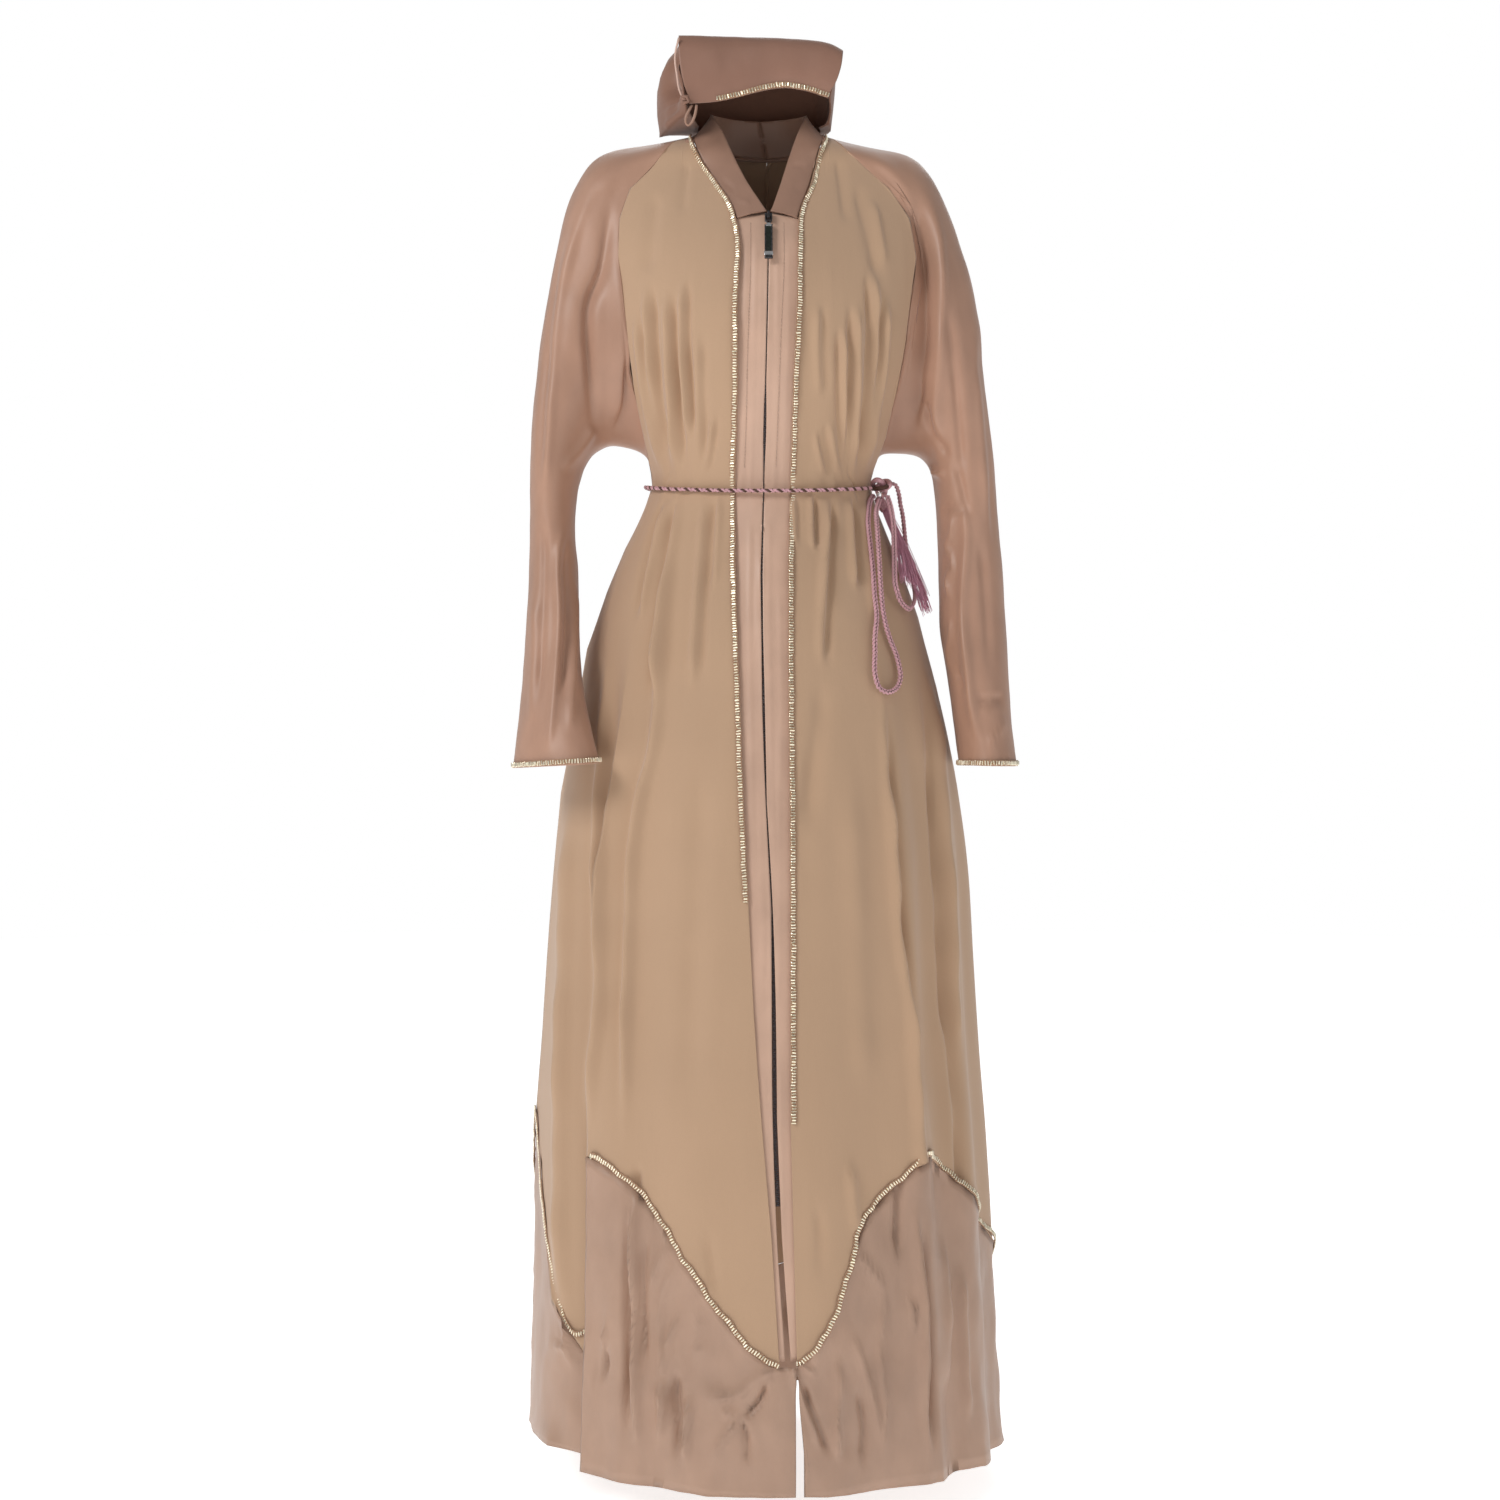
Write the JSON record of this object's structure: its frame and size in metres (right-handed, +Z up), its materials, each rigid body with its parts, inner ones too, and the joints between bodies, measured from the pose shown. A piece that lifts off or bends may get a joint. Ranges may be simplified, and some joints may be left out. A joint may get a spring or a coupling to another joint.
{
  "type": "abaya cloak",
  "caption": "Full-length zip-front abaya cloak in worn form, with a draped hood, standing collar, long raglan sleeves, a satin lower skirt with a pointed beaded edge, and a tasselled waist cord.",
  "frame": {"origin": "centre of the neck at the level where shoulder and collar meet, on the plane between front and back", "axes": "+Z up along the wearer's height, -Y the front with the zip, +X the wearer's left side"},
  "size_m": [0.5684, 0.5278, 1.605],
  "materials": {
    "chiffon": "matt crinkled chiffon, warm beige",
    "satin": "soft satin, warm beige",
    "beaded_trim": "narrow beaded ribbon with pale gold glints",
    "zip_tape": "dark woven tape",
    "dark_metal": "dark polished metal",
    "braided_cord": "braided cord, dusky pink and brown",
    "silver": "bright cut metal bead",
    "tassel_thread": "silky threads, pink mauve"
  },
  "bodies": {
    "garment": {"front_left": "chiffon", "front_right": "chiffon", "back_left": "chiffon", "back_right": "chiffon", "hood_shell": "chiffon", "skirt_front_left": "satin", "skirt_front_right": "satin", "skirt_back_left": "satin", "skirt_back_right": "satin", "band_left": "satin", "band_right": "satin", "sleeve_left": "satin", "sleeve_right": "satin", "collar_left": "satin", "collar_right": "satin", "hood_brim": "satin", "hood_tie": "satin", "hood_trim": "beaded_trim", "front_trim_left": "beaded_trim", "front_trim_right": "beaded_trim", "edge_trim_front_left": "beaded_trim", "edge_trim_front_right": "beaded_trim", "edge_trim_back_left": "beaded_trim", "edge_trim_back_right": "beaded_trim", "cuff_trim_left": "beaded_trim", "cuff_trim_right": "beaded_trim", "zip_tape": "zip_tape", "zip_slider": "dark_metal", "belt_cord": "braided_cord", "belt_knot": "braided_cord", "belt_loop_long": "braided_cord", "belt_loop_short": "braided_cord", "belt_bead": "silver", "tassel": "tassel_thread"},
    "pull_tab": {"zip_pull": "dark_metal"}
  },
  "joints": [
    {"name": "pull_hinge", "type": "hinge", "parent": "garment", "child": "pull_tab", "pos_m": [0.001, -0.09966, -0.11024], "axis": [-1, 0, 0], "range_deg": [0, 150]}
  ]
}
